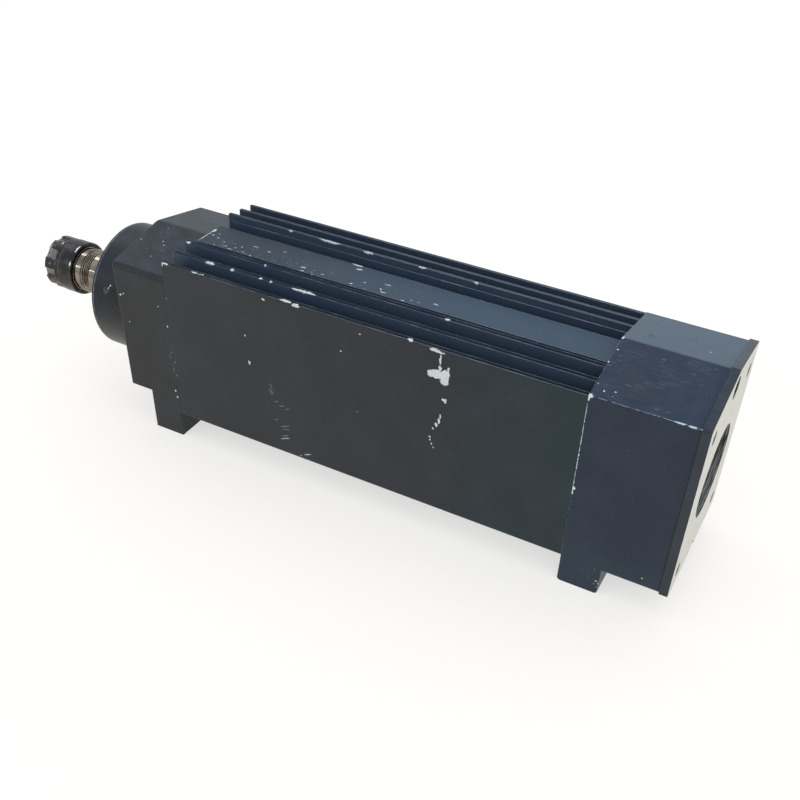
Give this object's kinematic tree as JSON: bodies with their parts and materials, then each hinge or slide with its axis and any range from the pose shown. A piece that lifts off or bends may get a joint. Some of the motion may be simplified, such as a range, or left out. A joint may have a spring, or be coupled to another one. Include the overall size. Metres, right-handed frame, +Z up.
{
  "type": "motor spindle",
  "caption": "Square finned high-speed motor spindle on two feet, with a collet nut on its nose, a gabled fan housing and a rear air inlet.",
  "frame": {"origin": "centre of the four foot holes, on the plane that the feet stand on", "axes": "+X along the spindle from the collet nose to the fan end, +Y across, +Z up from the mounting plane"},
  "size_m": [0.4575, 0.0942, 0.1378],
  "materials": {
    "body_enamel": "baked satin enamel on an aluminium extrusion, chipped at the edges",
    "cap_enamel": "satin enamel on a machined aluminium casting",
    "rear_cap_enamel": "satin enamel on a machined aluminium casting, scratched lengthwise",
    "lid_enamel": "satin enamel on the edges, bare milled aluminium on the rear face",
    "flange_enamel": "black enamel on turned steel",
    "plug_copper": "turned copper plug, pressed in, dulled",
    "screw_steel": "black oxide",
    "bearing_steel": "ground and lapped",
    "spring_steel": "tempered spring steel",
    "shaft_steel": "turned and ground, oily",
    "collet_steel": "ground spring steel",
    "nut_steel": "burnished steel, worn at the edges",
    "lamination_steel": "stamped electrical sheet",
    "winding_enamel": "varnished copper wire",
    "cast_aluminium": "pressure cast",
    "fan_aluminium": "pressure cast, dusty",
    "guard_steel": "punched sheet steel, dusty",
    "grommet_rubber": "moulded rubber"
  },
  "bodies": {
    "housing": {"motor_body": "body_enamel", "front_cap": "cap_enamel", "nose_flange": "flange_enamel", "port_plug": "plug_copper", "flange_screws": "screw_steel", "front_tie_screws": "screw_steel", "front_bearing_a_outer_race": "bearing_steel", "front_bearing_b_outer_race": "bearing_steel", "rear_bearing_outer_race": "bearing_steel", "preload_spring": "spring_steel", "stator_core": "lamination_steel", "stator_windings": "winding_enamel", "rear_cap": "rear_cap_enamel", "rear_tie_screws": "screw_steel", "rear_lid": "lid_enamel", "inlet_guard": "guard_steel", "lid_screws": "screw_steel", "lead_grommet": "grommet_rubber"},
    "spindle": {"spindle_shaft": "shaft_steel", "slinger_ring": "shaft_steel", "lock_nut": "screw_steel", "front_bearing_a_inner_race": "bearing_steel", "front_bearing_b_inner_race": "bearing_steel", "rear_bearing_inner_race": "bearing_steel", "rotor_core": "lamination_steel", "rotor_end_rings": "cast_aluminium", "cooling_fan": "fan_aluminium", "fan_circlip": "spring_steel"},
    "front_ball_cages": {"front_bearing_a_balls": "bearing_steel", "front_bearing_b_balls": "bearing_steel"},
    "rear_ball_cage": {"rear_bearing_balls": "bearing_steel"},
    "collet_body": {"collet": "collet_steel"},
    "nut_body": {"collet_nut": "nut_steel"}
  },
  "joints": [
    {"name": "spindle_spin", "type": "hinge", "parent": "housing", "child": "spindle", "pos_m": [0, 0, 0.073], "axis": [1, 0, 0], "continuous": true},
    {"name": "front_cage_spin", "type": "hinge", "parent": "housing", "child": "front_ball_cages", "pos_m": [0, 0, 0.073], "axis": [1, 0, 0], "continuous": true},
    {"name": "rear_cage_spin", "type": "hinge", "parent": "housing", "child": "rear_ball_cage", "pos_m": [0, 0, 0.073], "axis": [1, 0, 0], "continuous": true},
    {"name": "collet_slide", "type": "slide", "parent": "spindle", "child": "collet_body", "axis": [-1, 0, 0], "range_m": [0, 0.0121]},
    {"name": "nut_turn", "type": "hinge", "parent": "collet_body", "child": "nut_body", "pos_m": [0, 0, 0.073], "axis": [-1, 0, 0], "range_deg": [0, 4320]}
  ],
  "couplings": [
    {"joint": "front_cage_spin", "follows": "spindle_spin", "ratio": 0.4175},
    {"joint": "rear_cage_spin", "follows": "spindle_spin", "ratio": 0.3909},
    {"joint": "collet_slide", "follows": "nut_turn", "m_per_rad": 0.00015915}
  ]
}
